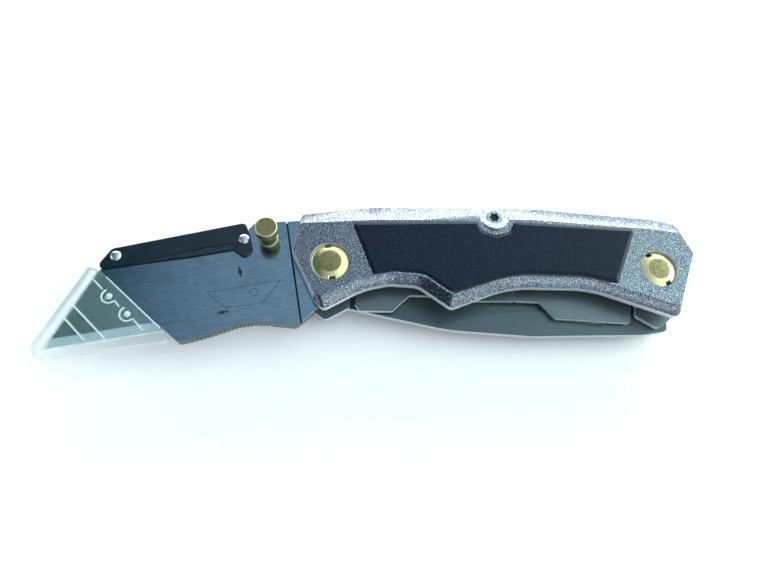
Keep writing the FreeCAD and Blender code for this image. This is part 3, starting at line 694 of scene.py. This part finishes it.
def blade():
    """Utility blade ground to its edge from both sides, its steep walls and its butt under the holder's
    seam painted nearly black as shade.
    """
    low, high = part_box("utility_blade")
    middle, half = (low.z + high.z) / 2, (high.z - low.z) / 2
    rise = (half - 0.02 * MM) / EDGE_GRIND
    cuts = []
    for side in (1, -1):
        shape = bmesh.new()
        section = [(-1.0, 0.02 * MM - rise), (EDGE_GRIND + 1, half + rise), (-1.0, half + MM)]
        ends = [[shape.verts.new((*on_blade(u, v).xy, middle + side * z)) for v, z in section]
                for u in (-5.0, 70.0)]
        for i in range(3):
            j = (i + 1) % 3
            shape.faces.new((ends[0][i], ends[0][j], ends[1][j], ends[1][i]))
        shape.faces.new(ends[0])
        shape.faces.new(ends[1])
        cuts.append(from_bmesh("grind", shape))
    made = shaped("utility_blade_piece", NODES["utility_blade"], cuts)
    butt = Vector((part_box("holder_front_plate")[1].x - SHADED_BUTT_INSET, LEFT_PIVOT.y, middle))
    shape = bmesh.new()
    shape.from_mesh(made.data)
    bmesh.ops.bisect_plane(shape, geom=[*shape.verts, *shape.edges, *shape.faces], dist=0.00001,
                           plane_co=butt, plane_no=BLADE_ALONG)
    shape.to_mesh(made.data)
    shape.free()
    # Steep walls get the nearly black steel as painted shade.
    walls(made, 0.999, 0.5)
    # Past this cut, under the holder's seam, the blade is painted nearly black as shade.
    for polygon in made.data.polygons:
        if (polygon.center - butt).dot(BLADE_ALONG) > 0:
            polygon.material_index = 2
    stand_in(made, "utility_blade", "holder", EDGE_STEEL, GROUND_STEEL, SEAM_SHADE_STEEL)


GUARD_RIB = 0.34
GUARD_RIBS = [((-104.6, -13.6), (-98.5, -19.6)), ((-103.1, -10.5), (-94.1, -19.1)),
              ((-99.4, -4.0), (-96.5, -6.9)), ((-93.2, -9.8), (-91.9, -11.3)),
              ((-88.3, -14.3), (-85.7, -17.1)), ((-95.9, -3.9), (-81.8, -16.5))]
GUARD_PIPS = [(-94.6, -8.7), (-89.8, -13.1)]
PIP_RING = 1.75


def guard():
    """Clear guard with stiffening ribs and two moulded pips, each in an open ring."""
    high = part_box("blade_guard")[1]
    base, top = high.z - 0.05 * MM, high.z + 0.3 * MM
    ribs = [prism(f"guard_rib_{number}", bar(one, other, GUARD_RIB), base, top)
            for number, (one, other) in enumerate(GUARD_RIBS)]
    for number, centre in enumerate(GUARD_PIPS):
        arc = crescent(centre, PIP_RING, GUARD_RIB, 118, 318)
        ribs.append(prism(f"guard_arc_{number}", arc, base, top))
        place = Vector((centre[0] * MM, centre[1] * MM, 0))
        dome = [(0, base), (0.75, base), (0.75, high.z), (0.66, high.z + 0.25 * MM),
                (0.4, high.z + 0.42 * MM), (0, high.z + 0.48 * MM)]
        ribs.append(turned(f"guard_pip_{number}", dome, place, 32))
    # Ribs, arcs and pips in the whitish plastic: painted highlight.
    for rib in ribs:
        rib.data.materials.append(PLASTIC_HIGHLIGHT)
        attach(rib, "guard")
    made = shaped("blade_guard_piece", NODES["blade_guard"])
    # Steep walls of the guard in the whitish plastic: painted highlight.
    walls(made)
    stand_in(made, "blade_guard", "guard", CLEAR, PLASTIC_HIGHLIGHT, edge=0.12 * MM)


EDGES = {
    "front_scale": 0.32 * MM, "rear_scale": 0.32 * MM, "front_inlay": 0.22 * MM,
    "rear_inlay": 0.22 * MM, "centre_liner": 0.2 * MM, "utility_lock_leaf": 0.2 * MM,
    "sports_lock_leaf": 0.2 * MM, "holder_tang_cap": 0.1 * MM, "sports_blade": 0.22 * MM,
    "front_backspacer": 0.1 * MM, "rear_backspacer": 0.1 * MM, "utility_stop_pin": 0.08 * MM,
}
# Edge walls in a paler metal: painted highlight.
WALL_HIGHLIGHTS = {
    "front_scale": SCALE_WALL_HIGHLIGHT, "rear_scale": SCALE_WALL_HIGHLIGHT, "centre_liner": SHEET_WALL_HIGHLIGHT,
    "utility_lock_leaf": SHEET_WALL_HIGHLIGHT, "sports_lock_leaf": SHEET_WALL_HIGHLIGHT, "sports_blade": SHEET_WALL_HIGHLIGHT,
}
INLAYS = {"front_scale": NODES["front_inlay"], "rear_scale": NODES["rear_inlay"]}
for node, finish in FINISHES.items():
    dress(node, finish, EDGES.get(node, 0.0), WALL_HIGHLIGHTS.get(node), INLAYS.get(node))
for name, centre, lean in (("utility_pivot", LEFT_PIVOT, 98), ("sports_pivot", RIGHT_PIVOT, 118)):
    for half in ("nut", "bolt"):
        pivot_half(f"{name}_{half}", centre, lean)
spine_fastener("spine_screw")
spine_fastener("spine_nut")
stud()
rivet("lever_rivet", "holder", LEVER_PIVOT)
rivet("lever_catch_pin", "lever", sum(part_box("lever_catch_pin"), Vector()) / 2)
holder_plates()
etched_marks()
lever()
blade()
guard()


# ---------------------------------------------------------------- camera, light and floor
CAMERA_TILT = math.radians(20.3)
CAMERA_YAW = math.radians(4.7)
CAMERA_ROLL = math.radians(-1.1)
PIVOT_IN_VIEW = Vector((-13.2, 6.8, -137.1)) * MM
LENS = 26.25


def camera():
    """A hand-held view from in front of the belly side, close to the knife."""
    turn = (Matrix.Rotation(CAMERA_ROLL, 3, "Z") @ Matrix.Rotation(CAMERA_YAW, 3, "Y")
            @ Matrix.Rotation(-CAMERA_TILT, 3, "X"))
    origin = Vector((LEFT_PIVOT.x, 0, HANDLE_FACE))
    data = bpy.data.cameras.new("camera")
    data.sensor_width = 36
    data.lens = LENS
    data.clip_start, data.clip_end = 0.005, 20
    made = bpy.data.objects.new("camera", data)
    bpy.context.scene.collection.objects.link(made)
    back = turn.transposed()
    made.matrix_world = Matrix.Translation(origin - back @ PIVOT_IN_VIEW) @ back.to_4x4()
    bpy.context.scene.camera = made


LIT_SPOT = Vector((-0.02, 0, 0))


def softbox(name, place, width, tall, power, color):
    """A soft rectangular light, aimed at the knife."""
    data = bpy.data.lights.new(name, "AREA")
    data.shape = "RECTANGLE"
    data.size, data.size_y = width, tall
    data.energy = power
    data.color = color
    made = bpy.data.objects.new(name, data)
    made.location = place
    made.rotation_euler = (LIT_SPOT - Vector(place)).to_track_quat("-Z", "Y").to_euler()
    bpy.context.scene.collection.objects.link(made)
    return made


def sky():
    """A dim ceiling, darker and bluer to the left, and a warmer, dim near side."""
    world = bpy.data.worlds.new("studio")
    world.use_nodes = True
    tree = world.node_tree
    background = tree.nodes["Background"]
    place = tree.nodes.new("ShaderNodeTexCoord")
    split = tree.nodes.new("ShaderNodeSeparateXYZ")
    tree.links.new(place.outputs["Generated"], split.inputs[0])

    def ramp(source, low, high, stops):
        span = tree.nodes.new("ShaderNodeMapRange")
        span.inputs["From Min"].default_value = low
        span.inputs["From Max"].default_value = high
        tree.links.new(source, span.inputs["Value"])
        made = tree.nodes.new("ShaderNodeValToRGB")
        while len(made.color_ramp.elements) < len(stops):
            made.color_ramp.elements.new(0.5)
        for element, (position, color) in zip(made.color_ramp.elements, stops):
            element.position = position
            element.color = (*color, 1)
        tree.links.new(span.outputs[0], made.inputs[0])
        return made.outputs[0]

    ceiling = ramp(split.outputs[0], -1, 1, SKY_ACROSS)
    near = ramp(split.outputs[1], -1, 1, SKY_NEAR)
    mixed = tree.nodes.new("ShaderNodeMix")
    mixed.data_type = "RGBA"
    mixed.blend_type = "MULTIPLY"
    mixed.inputs["Factor"].default_value = 1
    tree.links.new(ceiling, mixed.inputs[6])
    tree.links.new(near, mixed.inputs[7])
    tree.links.new(mixed.outputs[2], background.inputs[0])
    background.inputs[1].default_value = SKY_POWER
    bpy.context.scene.world = world


SKY_POWER = 2.0
SKY_ACROSS = [(0.22, (0.008, 0.045, 0.060)), (0.31, (0.02, 0.062, 0.08)), (0.365, (0.21, 0.25, 0.33)),
              (0.41, (0.26, 0.29, 0.36)), (0.56, (0.30, 0.38, 0.46)), (0.70, (0.70, 0.95, 1.0)),
              (0.85, (0.8, 1.0, 1.0))]
SKY_NEAR = [(0.1, (0.50, 0.45, 0.47)), (0.45, (1.0, 0.97, 0.95)), (0.6, (1.0, 1.0, 1.0))]


FLOOR_REACH = 3.0
FLOOR_THICK = 10 * MM
SOFTBOXES = [
    ("behind", (0.0, 0.66, 0.2), 1.4, 0.28, 7.0, (0.97, 1.0, 1.0)),
    ("left", (-0.65, -0.05, 0.38), 0.4, 0.25, 0.9, (0.9, 0.97, 1.0)),
    ("right", (0.66, 0.1, 0.3), 0.4, 0.3, 1.8, (0.9, 1.0, 1.0)),
    ("front", (0.22, -0.72, 0.45), 0.5, 0.2, 0.55, (1.0, 1.0, 1.0)),
]
WASH = ((0.0, -0.1, 1.0), 1.4, 1.4, 2.2, (1.0, 0.98, 0.96))


def studio():
    """White floor under a dim ceiling, lit low from behind, both sides and front, and from above."""
    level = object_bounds()[0].z
    reach = FLOOR_REACH / MM
    outline = [(-reach, -reach), (reach, -reach), (reach, reach), (-reach, reach)]
    floor = prism("floor", outline, level - FLOOR_THICK, level)
    floor.data.materials.append(PAPER)
    floor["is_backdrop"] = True
    sky()
    for name, *light in SOFTBOXES:
        softbox(name, *light)
    wash = softbox("wash", *WASH)
    wash.visible_glossy = False
    wash.visible_transmission = False
    bpy.context.scene.view_settings.view_transform = "Standard"


camera()
studio()
